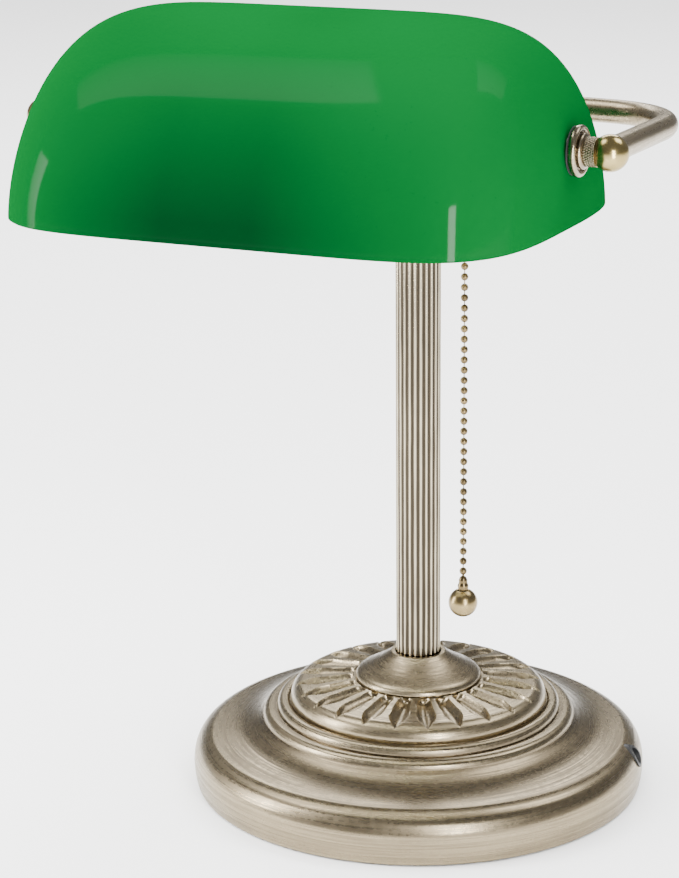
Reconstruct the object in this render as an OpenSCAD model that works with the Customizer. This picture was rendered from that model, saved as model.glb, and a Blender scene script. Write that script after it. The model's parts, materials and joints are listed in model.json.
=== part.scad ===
// Banker desk lamp: a round stepped brass base with a fluted dome, a reeded column, a bowed tube
// yoke with a ball at each end, and a long green glass shade that tilts between the two balls.
// Millimetres. Z is up and the origin is on the table, on the column's axis. The shade is at -Y.

/* [Base] */
// Radius of the base where it meets the table
base_r = 95; // [88:1:105]
// Height of the top of the base's flat deck, under the dome
deck_z = 35; // [32:0.5:38]
// Wall thickness of the pressed base shell
shell_t = 1.2; // [1:0.1:2]
// Outer radius of the fluted dome
dome_r = 54.6; // [50:0.1:56]
// Height of the fluted dome's inner edge above the deck
dome_rise = 10.4; // [9:0.1:13]
// Number of flutes around the dome
flute_count = 24; // [20:1:28]
// Radius of the cast weight inside the base
weight_r = 72; // [60:1:80]
// Direction of the cord hole, in degrees from +X towards +Y
cord_dir = 10; // [0:1:90]

/* [Column] */
// Outer radius of the column
column_r = 9.4; // [8.5:0.1:10.5]
// Height of the column's top
column_top = 283; // [260:1:300]
// Number of reeds around the column
reed_count = 24; // [20:1:28]
// Radius of the hollow threaded rod in the column
rod_r = 4.9; // [4:0.1:5]

/* [Yoke] */
// Height of the yoke tube at the column
yoke_z = 291.5; // [285:0.5:300]
// Rise of the yoke's arms from the column to the tilt axis
yoke_rise = 1.1; // [0:0.1:3]
// Outer radius of the yoke tube
yoke_tube_r = 4.7; // [4:0.05:5.5]
// Radius of the bow along the back of the yoke
bow_r = 559; // [400:1:800]
// Distance of the bow's middle behind the column's axis
bow_y = 6.5; // [5:0.5:8]
// Radius of the yoke's two corner bends, at the middle of the tube
bend_r = 36; // [30:1:42]
// Distance from the middle of the lamp to the middle of each arm
arm_x = 113.3; // [112:0.1:116]

/* [Shade] */
// Half of the shade's length at its rim
shade_a = 101.6; // [100:0.1:103]
// Half of the shade's depth at its rim
shade_b = 77; // [70:0.5:79]
// Height of the shade
shade_h = 74.1; // [70:0.1:80]
// Height of the shade's rim above the table
shade_z = 264.8; // [260:0.1:268]
// Distance of the shade's middle in front of the column's axis
shade_y = 102; // [99:0.5:104]
// Thickness of the glass
glass_t = 4; // [3:0.5:5]

/* [Pivots] */
// Distance of the tilt axis in front of the column's axis
pivot_y = 98; // [96:0.5:100]
// Radius of the ball at each end of the yoke
ball_r = 6.7; // [6.4:0.1:7.5]
// Radius of the large cup washer beside the glass
cup_r = 9.3; // [9:0.1:10]
// Radius of the pin that the shade tilts on
pin_r = 3.9; // [3.5:0.1:4]

/* [Bulb] */
// Radius of the bulb's round part
bulb_r = 24; // [20:1:28]

/* [Pull chain] */
// Radius of one bead
bead_r = 1.4; // [1.4:0.05:1.5]
// Distance from one bead to the next
bead_pitch = 3.9; // [3.8:0.1:4.2]
// Distance of the chain to the right of the lamp's middle
chain_x = 60; // [60:0.5:61]
// Radius of the ball at the chain's end
pull_ball_r = 5.5; // [5:0.1:7]

/* [Hidden] */
$fn = 64;

brass = "#a59b84";
dark_brass = "#8b8068";
yellow_brass = "#a8985c";
steel = "#9a9a98";

// Base
pivot_z = yoke_z + yoke_rise;   // height of the tilt axis
shell_foot_z = 0.8;             // the shell's edge hangs just clear of the table
dome_slope = 6.7;               // the dome falls by this angle from its inner edge to its rim
dome_rim_r = 6.5;
dome_seat_r = 28;               // radius of the flat recess that carries the cone
flute_dir = -2.7;
flute_r = 3.4;
flute_lift = 1.3;               // height of a flute's axis above the dome
cone_z = 44.8;
cone_top_z = 56.6;
cone_r = 26.8;
dome_wall = 3;
pad_t = 1.5;
plate_t = 1;
weight_z = 3;
nut_recess_r = 16;
nut_recess_z = 14.5;
cord_z = 16.8;
cord_hole_r = 4.6;
cord_bore_r = 3.3;
rod_fit = 0.2;                  // clearance of every hole that the rod passes through

// Column and yoke
column_bottom = 54.2;
column_bore = 7.6;
collar_z = 281;
hub_z = yoke_z - 5.9;
hub_top = yoke_z + 8;
hub_r = 13.5;
yoke_bore = 3.75;
corner_angle = asin((arm_x - bend_r) / (bow_r - bend_r));
corner_y = (bow_r - bend_r) * cos(corner_angle) + bow_y - bow_r;
arm_end_y = 7 - pivot_y;

// Shade: |x/a|^end_power + (|y/b|^arch_y + |z/h|^arch_z)^corner = 1, which is convex, so the
// arch keeps its section along the shade and closes only near the two ends
end_power = 6;
arch_y = 2.1;
arch_z = 1.66;
corner = 1.73;
ring_points = 64;
wall_rings = 16;
bushing_r = 5.6;
bushing_bore = pin_r + 0.08;

// Pivots: distances from the middle of the lamp, along X
glass_in_x = 94.9;              // the clamping washers stay this side of the glass
glass_out_x = 101.35;           // and the outer ones that side of it
cup_x = 101.9;
neck_x = 104.1;
neck_end_x = 107.8;
pin_end_x = 110.2;
ball_x = 115;
nut_x = 88;
nut_h = 4.5;
washer_in_x = 92.5;
nipple_end_x = 83.6;
inner_washer_r = 7.3;
neck_r = 5.3;
collar_r = 6.5;

// Socket: distances from the middle of the lamp, along X
cap_neck_x = 87.6;
cap_rim_x = 70;
cap_r = 16.6;
sock_r = 15.7;
sock_front_x = 26;
body_r = 14.2;
body_back_x = 74;
body_front_x = 48;
screw_r = 13.3;
thread_pitch = 3.62;
lever_x = 69;
lever_z = pivot_z - 5;
lever_rise = 20;
rotor_x = 67.5;
rotor_z = pivot_z + 7;
bell_z = pivot_z - 23;

// Bulb
bulb_x = -18;
bulb_screw_r = 12.9;
bulb_join = 24.8;               // where the curve to the neck leaves the sphere, in degrees

// Chain
hook_bead_z = pivot_z + 0.9;
second_bead_z = hook_bead_z - 7;
link_head_r = 0.68;
link_flat = 0.12;
lead_last = 5;
upper_last = 21;
lower_last = 41;
last_bead_z = second_bead_z - (lower_last - 1) * bead_pitch;
pull_ball_z = last_bead_z - 12.4;

// Points of a curve with one control point, from p to r
function bend(p, q, r, n) =
    [for (i = [1:n]) let (t = i / n) (1 - t) * (1 - t) * p + 2 * t * (1 - t) * q + t * t * r];

// A closed outline of a pressed sheet: its outer line, and the same line moved in and down
function sheet(line, t) =
    let (last = len(line) - 1)
    concat(line, [for (i = [last:-1:0])
        line[i] - (i == 0 ? [t, 0] : i == last ? [0, t] : [t, t])]);

// Turns a shape made about Z into one about X, with its height measured along X
module along_x() {
    translate([0, -pivot_y, pivot_z]) rotate([0, 90, 0]) children();
}

// The same piece on the right and, mirrored, on the left
module both_sides() {
    children();
    mirror([1, 0, 0]) children();
}

module ring(r_in, r_out, z0, z1) {
    translate([0, 0, z0]) difference() {
        cylinder(r = r_out, h = z1 - z0);
        translate([0, 0, -1]) cylinder(r = r_in, h = z1 - z0 + 2);
    }
}

// ---- Base ----

// The shell's outer line, from the table up and in to the rod
function shell_line() = let (
    foot = [base_r, shell_foot_z],
    band = [base_r + 1.3, 10],
    crease = [base_r - 7, 21.8],
    cove_end = [base_r - 28.4, 29.1],
    step = [base_r - 34.6, 32.6],
    top = [dome_r + 1.2, deck_z + 0.9])
    concat([foot],
        bend(foot, [base_r + 1.2, 4], band, 4),
        bend(band, [base_r + 0.9, 19.5], crease, 8),
        bend(crease, [base_r - 22, 23.6], cove_end, 8),
        bend(cove_end, [base_r - 28.9, 33.2], step, 6),
        bend(step, [base_r - 35, 36.8], top, 6),
        [[dome_r + 0.9, deck_z], [rod_r + rod_fit, deck_z]]);

module base_shell() {
    color(brass) difference() {
        rotate_extrude($fn = 96) polygon(sheet(shell_line(), shell_t));
        rotate([0, 0, cord_dir]) translate([base_r - 6.5, 0, cord_z]) rotate([0, 90, 0])
            cylinder(r = cord_hole_r, h = 14);
    }
}

// The dome's profile: a straight slope that ends in a round rim, moved in by t for its inside
module dome_profile(t) {
    rim_x = dome_r - dome_rim_r;
    rim_z = deck_z + dome_rise - 9;
    tangent = 90 - dome_slope;
    translate([rim_x, rim_z]) circle(dome_rim_r - t);
    polygon([[0, deck_z - 1], [dome_r - t, deck_z - 1], [dome_r - t, rim_z],
        [rim_x + (dome_rim_r - t) * cos(tangent), rim_z + (dome_rim_r - t) * sin(tangent)],
        [0, rim_z + (dome_rim_r - t) / cos(dome_slope) + rim_x * tan(dome_slope)]]);
}

module fluted_dome() {
    color(dark_brass) difference() {
        rotate_extrude() difference() {
            dome_profile(0);
            difference() {
                dome_profile(dome_wall);
                translate([0, deck_z]) square([dome_seat_r + 2, 40]);
            }
            translate([0, cone_z]) square([dome_seat_r, 20]);
            translate([0, deck_z - 20]) square([dome_r + 1, 20]);
            translate([0, deck_z - 2]) square([rod_r + rod_fit, 40]);
        }
        for (i = [0:flute_count - 1]) rotate([0, 0, 360 * i / flute_count + flute_dir])
            translate([dome_seat_r - 1, 0, deck_z + dome_rise + flute_lift])
                rotate([0, 90 + dome_slope, 0]) cylinder(r = flute_r, h = 21);
    }
}

module column_cone() {
    foot = [cone_r, cone_z];
    slope = [cone_r - 2.6, cone_z + 3.8];
    color(brass) rotate_extrude($fn = 96) polygon(concat([foot],
        bend(foot, [cone_r + 0.1, cone_z + 2.4], slope, 5),
        bend(slope, [15, cone_top_z - 3.4], [11.4, cone_top_z], 6),
        [[column_r + 0.3, cone_top_z], [column_r + 0.3, column_bottom],
         [rod_r + rod_fit, column_bottom], [rod_r + rod_fit, cone_z + 4],
         [18, cone_z + 3], [22, cone_z]]));
}

module base_weight() {
    color("#4a4a4a") rotate_extrude() polygon([[rod_r + rod_fit, nut_recess_z],
        [nut_recess_r, nut_recess_z], [nut_recess_r, weight_z], [weight_r, weight_z],
        [weight_r, weight_z + 7], [weight_r - 2, weight_z + 9], [22, weight_z + 12.5],
        [14, deck_z - shell_t], [rod_r + rod_fit, deck_z - shell_t]]);
}

module cover_plate() {
    color("#3b3b3b") translate([0, 0, pad_t]) cylinder(r = base_r - 1.6, h = plate_t);
}

module felt_pad() {
    color("#202020") cylinder(r = base_r - 2, h = pad_t);
}

// A sleeve whose outer end follows the shell and stands a little proud of it
module cord_bushing() {
    color("#1c1c1c") intersection() {
        rotate([0, 0, cord_dir]) translate([0, 0, cord_z]) rotate([0, 90, 0])
            ring(cord_bore_r, cord_hole_r - 0.1, base_r - 6, base_r + 4);
        rotate_extrude($fn = 96) polygon(concat([[60, shell_foot_z]],
            [for (p = shell_line()) if (p[0] > 60) p + [0.5, 0.5]]));
    }
}

module rod_nut() {
    color(steel) difference() {
        translate([0, 0, 9]) cylinder(r = 8.1, h = 4, $fn = 6);
        cylinder(r = rod_r, h = 20);
    }
}

module rod_washer() {
    color(steel) ring(rod_r + rod_fit, 13, 13, nut_recess_z);
}

module threaded_rod() {
    color(steel) ring(rod_r - 1.4, rod_r, 6, hub_z + 0.8);
}

// ---- Column and yoke ----

module column_tube() {
    color(brass) translate([0, 0, column_bottom]) linear_extrude(column_top - column_bottom)
        difference() {
            circle(column_r);
            circle(column_bore);
            for (i = [0:reed_count - 1]) rotate(360 * i / reed_count)
                translate([column_r + 0.55, 0]) circle(1, $fn = 24);
        }
}

module column_collar() {
    color(brass) rotate_extrude() polygon([[rod_r + rod_fit, column_top], [column_r + 0.2, column_top],
        [column_r + 0.2, collar_z], [column_r + 1.6, collar_z], [column_r + 2.3, collar_z + 1.5],
        [column_r + 2.3, hub_z - 1.2], [column_r + 1.4, hub_z], [rod_r + rod_fit, hub_z]]);
}

module yoke_hub() {
    color(brass) difference() {
        rotate_extrude() polygon([[0, hub_z], [hub_r - 1.5, hub_z], [hub_r, hub_z + 1.5],
            [hub_r, hub_top - 1.5], [hub_r - 1.5, hub_top], [0, hub_top]]);
        translate([-20, bow_y - 0.1, yoke_z]) rotate([0, 90, 0])
            cylinder(r = yoke_tube_r + 0.25, h = 40);
        translate([0, 0, hub_z - 1]) cylinder(r = rod_r, h = 2);
        translate([0, 0, hub_top - 3]) cylinder(r = 3, h = 4);
    }
}

module hub_finial() {
    color(yellow_brass) {
        translate([0, 0, hub_top]) cylinder(r = 7, h = 1.6);
        translate([0, 0, hub_top - 2.8]) cylinder(r = 2.95, h = 4);
        translate([0, 0, hub_top + 1.6]) cylinder(r1 = 4.6, r2 = 3.4, h = 2.4);
        translate([0, 0, hub_top + 7.4]) sphere(5);
    }
}

// One solid bar along the yoke's line: the bow, and for each side a corner bend and an arm
module yoke_bar(r) {
    translate([0, bow_y - bow_r, 0]) rotate([0, 0, 90 - corner_angle])
        rotate_extrude(angle = 2 * corner_angle, $fn = 720)
            translate([bow_r, 0]) circle(r, $fn = 32);
    both_sides() {
        translate([arm_x - bend_r, corner_y, 0])
            rotate_extrude(angle = 90 - corner_angle, $fn = 96)
                translate([bend_r, 0]) circle(r, $fn = 32);
        translate([arm_x, corner_y, 0]) rotate([90, 0, 0])
            cylinder(r = r, h = corner_y - arm_end_y, $fn = 32);
    }
}

// Puts a shape made in the yoke's flat plane at the yoke's height and slope
module in_yoke() {
    translate([0, 0, yoke_z]) rotate([-atan(yoke_rise / pivot_y), 0, 0]) children();
}

module yoke_tube() {
    color(brass) in_yoke() difference() {
        yoke_bar(yoke_tube_r);
        yoke_bar(yoke_bore);
    }
}

// ---- Pivots ----

// A ball with two bosses: the neck stands on one, and the tube's end on the other
module ball() {
    color(yellow_brass) difference() {
        union() {
            translate([ball_x, -pivot_y, pivot_z]) sphere(ball_r);
            along_x() translate([0, 0, neck_end_x]) cylinder(r = neck_r, h = ball_x - neck_end_x);
            in_yoke() translate([arm_x, arm_end_y, 0]) rotate([90, 0, 0])
                cylinder(r = yoke_tube_r, h = pivot_y + arm_end_y);
        }
        along_x() cylinder(r = pin_r + 0.05, h = pin_end_x);
    }
}

module ball_right() { ball(); }

module ball_left() { mirror([1, 0, 0]) ball(); }

module neck() {
    color(brass) along_x() rotate_extrude() polygon([[pin_r + 0.05, neck_x], [collar_r - 0.4, neck_x],
        [collar_r, neck_x + 0.6], [collar_r, neck_x + 1.4], [collar_r - 0.5, neck_x + 1.9],
        [neck_r, neck_x + 2.1], [neck_r, neck_end_x], [pin_r + 0.05, neck_end_x]]);
}

module neck_right() { neck(); }

module neck_left() { mirror([1, 0, 0]) neck(); }

module cup_washer() {
    color(brass) along_x() rotate_extrude() polygon([[pin_r + 0.05, cup_x], [cup_r - 0.6, cup_x],
        [cup_r, cup_x + 0.6], [cup_r, cup_x + 2.3], [cup_r - 0.5, cup_x + 2.9],
        [cup_r - 1.4, cup_x + 2.9], [cup_r - 2, neck_x], [pin_r + 0.05, neck_x]]);
}

module cup_washer_right() { cup_washer(); }

module cup_washer_left() { mirror([1, 0, 0]) cup_washer(); }

module rubber_washers() {
    color("#262626") both_sides() along_x() {
        ring(pin_r + 0.1, cup_r - 0.5, glass_out_x, cup_x);
        ring(pin_r + 0.1, inner_washer_r + 0.2, glass_in_x - 1, glass_in_x);
    }
}

module clamp_washers() {
    color(steel) both_sides() along_x() ring(pin_r + 0.1, inner_washer_r, washer_in_x, glass_in_x - 1);
}

module pivot_nipple() {
    color(steel) along_x() ring(pin_r - 1.2, pin_r, nipple_end_x, pin_end_x);
}

module pivot_stud() {
    color(steel) mirror([1, 0, 0]) along_x() translate([0, 0, nut_x - 2])
        cylinder(r = pin_r, h = pin_end_x - nut_x + 2);
}

module lock_nuts() {
    color(steel) both_sides() along_x() difference() {
        translate([0, 0, nut_x]) cylinder(r = 7.2, h = nut_h, $fn = 6);
        translate([0, 0, nut_x - 1]) cylinder(r = pin_r, h = nut_h + 2);
    }
}

// ---- Shade ----

function signed_power(v, p) = sign(v) * pow(abs(v), p);

// A point of the shade's surface: t goes round the plan and s climbs from the rim to the crown
function shade_point(a, b, h, t, s) =
    let (rise = pow(sin(s), 2), at_rise = pow(rise, corner),
         arch = pow(at_rise + (1 - at_rise) * pow(sin(t), 2), 1 / corner))
    [a * signed_power(cos(t), 2 / end_power) * pow(1 - at_rise, 1 / end_power),
     b * sign(sin(t)) * pow(max(arch - rise, 0), 1 / arch_y),
     h * pow(rise, 1 / arch_z)];

// A skin of rings of points from the rim up, with one last point at the crown
function shade_skin(a, b, h) = concat(
    [for (j = [0:wall_rings - 1], i = [0:ring_points - 1])
        shade_point(a, b, h, 360 * i / ring_points, 90 * j / wall_rings)],
    [[0, 0, h]]);

// Triangles of a skin whose points start at index f; they face out, or in when flip is true
function skin_faces(f, flip) = [for (j = [0:wall_rings - 1], i = [0:ring_points - 1])
    let (k = (i + 1) % ring_points, p = f + j * ring_points + i, q = f + j * ring_points + k,
         crown = f + wall_rings * ring_points,
         faces = j == wall_rings - 1 ? [[p, crown, q]]
             : [[p, p + ring_points, q], [q, p + ring_points, q + ring_points]])
    for (face = faces) flip ? [face[2], face[1], face[0]] : face];

module shade_glass() {
    inner = wall_rings * ring_points + 1;
    rim = [for (i = [0:ring_points - 1]) let (k = (i + 1) % ring_points)
        for (face = [[i, k, inner + i], [k, inner + k, inner + i]]) face];
    color("#00933a") difference() {
        translate([0, -shade_y, shade_z]) polyhedron(
            points = concat(shade_skin(shade_a, shade_b, shade_h),
                shade_skin(shade_a - glass_t, shade_b - glass_t, shade_h - glass_t)),
            faces = concat(skin_faces(0, false), skin_faces(inner, true), rim));
        both_sides() along_x() translate([0, 0, 80]) cylinder(r = bushing_r + 0.05, h = 40);
    }
}

module shade_bushings() {
    color("#e8e4d8") both_sides() along_x()
        ring(bushing_bore, bushing_r, glass_in_x + 0.4, glass_out_x - 0.25);
}

// ---- Socket and its pull switch ----

module socket_cap() {
    side = [cap_r, 76];
    shoulder = [6.2, 84.4];
    color(yellow_brass) along_x() rotate_extrude() polygon(concat([[cap_r, cap_rim_x], side],
        bend(side, [cap_r, 83], shoulder, 6),
        [[5.8, cap_neck_x], [pin_r + 0.02, cap_neck_x], [pin_r + 0.02, 83.4]],
        bend([5.6, 83.4], [cap_r - 0.8, 82], [cap_r - 0.8, 76], 6),
        [[cap_r - 0.8, cap_rim_x]]));
}

// The hole for the chain bell, through whichever part of the socket it is taken from
module bell_hole(r) {
    translate([chain_x, -pivot_y, pivot_z - 22]) cylinder(r = r, h = 12);
}

module socket_shell() {
    color(yellow_brass) difference() {
        along_x() rotate_extrude() polygon([[sock_r - 0.7, sock_front_x + 0.6],
            [sock_r - 0.4, sock_front_x], [sock_r + 0.5, sock_front_x],
            [sock_r + 0.8, sock_front_x + 1], [sock_r + 0.3, sock_front_x + 2.2],
            [sock_r, sock_front_x + 2.6], [sock_r, 73], [sock_r - 0.7, 73]]);
        bell_hole(3.2);
    }
}

module socket_liner() {
    color("#c9b58a") difference() {
        along_x() ring(14.4, 14.9, 28, 72);
        bell_hole(3.2);
    }
}

module switch_body() {
    color("#2a2420") difference() {
        along_x() translate([0, 0, body_front_x]) cylinder(r = body_r, h = body_back_x - body_front_x);
        translate([56, -pivot_y - 4.2, pivot_z - 20]) cube([16, 8.4, 31.6]);
        translate([lever_x, -pivot_y, lever_z]) rotate([90, 0, 0])
            cylinder(r = 1, h = 12, center = true, $fn = 32);
        translate([rotor_x, -pivot_y, rotor_z]) rotate([90, 0, 0])
            cylinder(r = 0.98, h = 12, center = true, $fn = 32);
    }
}

// Rolled thread: crests and roots alternate along a wall of radius r and thickness t
function thread_line(r, x0, turns) =
    [for (i = [0:2 * turns]) [r + (i % 2 == 0 ? 0 : 0.5), x0 + i * thread_pitch / 2]];

module screw_shell() {
    turns = 5;
    inner = thread_line(screw_r, 28.4, turns);
    outer = [for (i = [len(inner) - 1:-1:0]) inner[i] + [0.4, 0]];
    color(brass) along_x() rotate_extrude() polygon(concat(inner,
        [[screw_r, 47.4], [6, 47.4], [6, body_front_x], [screw_r + 0.4, body_front_x]], outer));
}

module centre_contact() {
    color(yellow_brass) along_x() translate([0, 0, 47.1]) cylinder(r = 4.5, h = 0.9);
}

module chain_bell() {
    color(yellow_brass) translate([chain_x, -pivot_y, 0]) rotate_extrude() polygon([
        [2.2, pivot_z - 13.6], [3.1, pivot_z - 13.6], [3.1, pivot_z - 16.4], [4.8, pivot_z - 16.4],
        [4.8, pivot_z - 17.8], [3.1, pivot_z - 18.4], [3.2, bell_z + 2], [4.3, bell_z + 0.3],
        [4.2, bell_z], [3.6, bell_z], [2.3, bell_z + 2.6]]);
}

module switch_lever() {
    color(steel) translate([lever_x, -pivot_y, lever_z]) rotate([0, lever_rise, 0]) difference() {
        union() {
            rotate([90, 0, 0]) cylinder(r = 2.2, h = 5, center = true, $fn = 32);
            translate([-10.8, -2.2, -0.6]) cube([10.8, 4.4, 1.2]);
        }
        rotate([90, 0, 0]) cylinder(r = 1.08, h = 8, center = true, $fn = 32);
        translate([-12, -0.9, -2]) cube([4.8, 1.8, 4]);
    }
}

module lever_pin() {
    color(steel) translate([lever_x, -pivot_y, lever_z]) rotate([90, 0, 0])
        cylinder(r = 1, h = 11.8, center = true, $fn = 32);
}

// Torsion spring round the lever's pin: a tube swept along three turns of a helix
module lever_spring() {
    turns = 3;
    steps = 16 * turns;
    sides = 6;
    wire = 0.17;
    coil = 1.7;
    width = 1.05;
    points = [for (i = [0:steps], j = [0:sides - 1])
        let (a = 360 * turns * i / steps, b = 360 * j / sides, r = coil + wire * cos(b))
        [r * cos(a), width * i / steps + wire * sin(b), r * sin(a)]];
    walls = [for (i = [0:steps - 1], j = [0:sides - 1]) let (k = (j + 1) % sides)
        for (face = [[i * sides + j, (i + 1) * sides + j, i * sides + k],
            [i * sides + k, (i + 1) * sides + j, (i + 1) * sides + k]]) face];
    ends = [[for (j = [0:sides - 1]) j], [for (j = [sides - 1:-1:0]) steps * sides + j]];
    color(steel) translate([lever_x, -pivot_y + 2.8, lever_z])
        polyhedron(points = points, faces = concat(walls, ends));
}

module switch_rotor() {
    color("#d8d2c0") translate([rotor_x, -pivot_y, rotor_z]) rotate([90, 0, 0]) difference() {
        union() {
            cylinder(r = 3.6, h = 7.4, center = true, $fn = 32);
            cylinder(r = 0.9, h = 11.6, center = true, $fn = 32);
        }
        for (i = [0:3]) rotate(90 * i) translate([4, 0, 0])
            cylinder(r = 1, h = 8, center = true, $fn = 24);
    }
}

// ---- Bulb ----

// Outline of the bulb: a sphere of radius r that a curve joins to a neck of radius n
function bulb_line(r, n) = concat(
    [for (i = [0:10]) let (a = bulb_join * i / 10 - 90 * (10 - i) / 10)
        [i == 0 ? 0 : r * cos(a), bulb_x + r * sin(a)]],
    bend([r * cos(bulb_join), bulb_x + r * sin(bulb_join)], [n + 2, 6], [n, 20], 6),
    [[n - 0.6, 30]]);

module bulb_glass() {
    outer = bulb_line(bulb_r, 12.2);
    inner = bulb_line(bulb_r - 1, 11.2);
    color("#f4f1e6") along_x() rotate_extrude()
        polygon(concat(outer, [for (i = [len(inner) - 1:-1:0]) inner[i]]));
}

module bulb_base() {
    turns = 4;
    outer = thread_line(bulb_screw_r - 0.5, 28, turns);
    inner = [for (i = [len(outer) - 1:-1:0]) outer[i] - [0.4, 0]];
    color(steel) along_x() rotate_extrude() polygon(concat(
        [[bulb_screw_r - 0.6, 23.4], [bulb_screw_r - 0.2, 24]], outer,
        [[bulb_screw_r - 0.6, 43.2], [bulb_screw_r - 1.2, 43.2]], inner, [[bulb_screw_r - 0.7, 24.4]]));
}

module bulb_insulator() {
    color("#1b1b1b") along_x() translate([0, 0, 43.2]) cylinder(r1 = 11.6, r2 = 5, h = 2.2);
}

module bulb_contact() {
    color("#b8b8b4") along_x() translate([0, 0, 45.4]) cylinder(r1 = 4.2, r2 = 2.6, h = 1.2);
}

// ---- Pull chain ----

function bead_z(i) = i == 0 ? hook_bead_z : second_bead_z - (i - 1) * bead_pitch;

// Hollow beads from first to last, each with a hole at its top and bottom
module beads(first, last) {
    color(yellow_brass) for (i = [first:last]) translate([chain_x, -pivot_y, bead_z(i)]) difference() {
        sphere(bead_r, $fn = 24);
        sphere(bead_r - 0.25, $fn = 24);
        cylinder(r = link_head_r - 0.06, h = 2 * bead_r + 1, center = true, $fn = 16);
    }
}

// Dumbbell wires, each with one head in bead i and the other in bead i + 1. The heads have flat
// ends, so that the two heads in a bead don't touch.
module links(first, last) {
    color(dark_brass) for (i = [first:last]) translate([chain_x, -pivot_y, 0]) {
        top = bead_z(i);
        bottom = bead_z(i + 1);
        rotate_extrude($fn = 16) polygon([[0, bottom + link_flat], [link_head_r - 0.16, bottom + link_flat],
            [link_head_r, bottom + 0.3], [link_head_r, bottom + 0.5], [0.2, bottom + 1],
            [0.2, top - 1], [link_head_r, top - 0.5], [link_head_r, top - 0.3],
            [link_head_r - 0.16, top - link_flat], [0, top - link_flat]]);
    }
}

module lead_beads() { beads(0, lead_last); }

module lead_links() { links(0, lead_last - 1); }

module upper_beads() { beads(lead_last + 1, upper_last); }

module upper_links() { links(lead_last, upper_last - 1); }

module lower_beads() { beads(upper_last + 1, lower_last); }

module lower_links() { links(upper_last, lower_last - 1); }

module chain_coupling() {
    color(yellow_brass) translate([chain_x, -pivot_y, pull_ball_z]) rotate_extrude() polygon([
        [0, pull_ball_r - 1], [1.9, pull_ball_r - 0.6], [2.1, pull_ball_r + 1.2], [1.6, pull_ball_r + 2.4],
        [1.7, pull_ball_r + 3.4], [1.1, pull_ball_r + 4.6], [0.4, pull_ball_r + 4.9],
        [0.4, pull_ball_r + 5.6], [0, pull_ball_r + 5.6]]);
}

module pull_ball() {
    color(yellow_brass) translate([chain_x, -pivot_y, pull_ball_z]) difference() {
        sphere(pull_ball_r);
        translate([0, 0, pull_ball_r - 1.4]) cylinder(r = 2.2, h = 3);
    }
}

base_shell();
fluted_dome();
column_cone();
base_weight();
cover_plate();
felt_pad();
cord_bushing();
rod_nut();
rod_washer();
threaded_rod();
column_tube();
column_collar();
yoke_hub();
hub_finial();
yoke_tube();
ball_right();
ball_left();
neck_right();
neck_left();
cup_washer_right();
cup_washer_left();
rubber_washers();
clamp_washers();
pivot_nipple();
pivot_stud();
lock_nuts();
shade_glass();
shade_bushings();
socket_cap();
socket_shell();
socket_liner();
switch_body();
screw_shell();
centre_contact();
chain_bell();
switch_lever();
lever_pin();
lever_spring();
switch_rotor();
bulb_glass();
bulb_base();
bulb_insulator();
bulb_contact();
lead_beads();
lead_links();
upper_beads();
upper_links();
lower_beads();
lower_links();
chain_coupling();
pull_ball();
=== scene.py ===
"""Banker desk lamp: detailed pieces, materials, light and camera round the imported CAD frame."""
import json
import math

import bmesh
import bpy
import numpy as np
from mathutils import Matrix, Vector


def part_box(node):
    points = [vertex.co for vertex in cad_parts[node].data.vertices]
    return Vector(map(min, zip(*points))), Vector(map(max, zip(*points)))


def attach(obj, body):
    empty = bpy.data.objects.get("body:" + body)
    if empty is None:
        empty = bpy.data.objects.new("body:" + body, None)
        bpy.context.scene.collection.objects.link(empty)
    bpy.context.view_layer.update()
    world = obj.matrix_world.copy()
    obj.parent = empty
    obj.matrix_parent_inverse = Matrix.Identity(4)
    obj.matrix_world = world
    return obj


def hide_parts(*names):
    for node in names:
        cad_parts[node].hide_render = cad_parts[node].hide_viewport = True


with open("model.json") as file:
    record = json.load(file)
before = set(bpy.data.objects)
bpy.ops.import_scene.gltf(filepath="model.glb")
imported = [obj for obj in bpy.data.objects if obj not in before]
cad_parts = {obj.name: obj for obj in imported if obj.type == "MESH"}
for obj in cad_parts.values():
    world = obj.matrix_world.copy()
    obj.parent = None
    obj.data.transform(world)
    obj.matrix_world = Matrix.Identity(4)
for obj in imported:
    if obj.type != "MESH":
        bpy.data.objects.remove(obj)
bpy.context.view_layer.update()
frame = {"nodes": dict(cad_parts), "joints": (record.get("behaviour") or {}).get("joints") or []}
nodes = frame["nodes"]
joints = {j["name"]: j for j in frame["joints"]}

MM = 0.001
TAU = 2 * math.pi


# ---- Sizes, in millimetres, read from the frame or given ----

def box_mm(node):
    """Lowest and highest corner of a CAD node, in millimetres."""
    low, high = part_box(node)
    return np.array(low) / MM, np.array(high) / MM


def radius_of(node):
    low, high = box_mm(node)
    return (high[0] - low[0]) / 2


base_low, base_high = box_mm("base_shell")
dome_low, _ = box_mm("fluted_dome")
cone_low, cone_high = box_mm("column_cone")
column_low, column_high = box_mm("column_tube")
shade_low, shade_high = box_mm("shade_glass")
ball_low, ball_high = box_mm("ball_right")
yoke_low, yoke_high = box_mm("yoke_tube")
pull_low, pull_high = box_mm("pull_ball")
PIVOT = np.array(joints["shade_tilt"]["pos_m"]) / MM
SIDE_PIVOT = np.array(joints["chain_swing_side"]["pos_m"]) / MM

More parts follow.
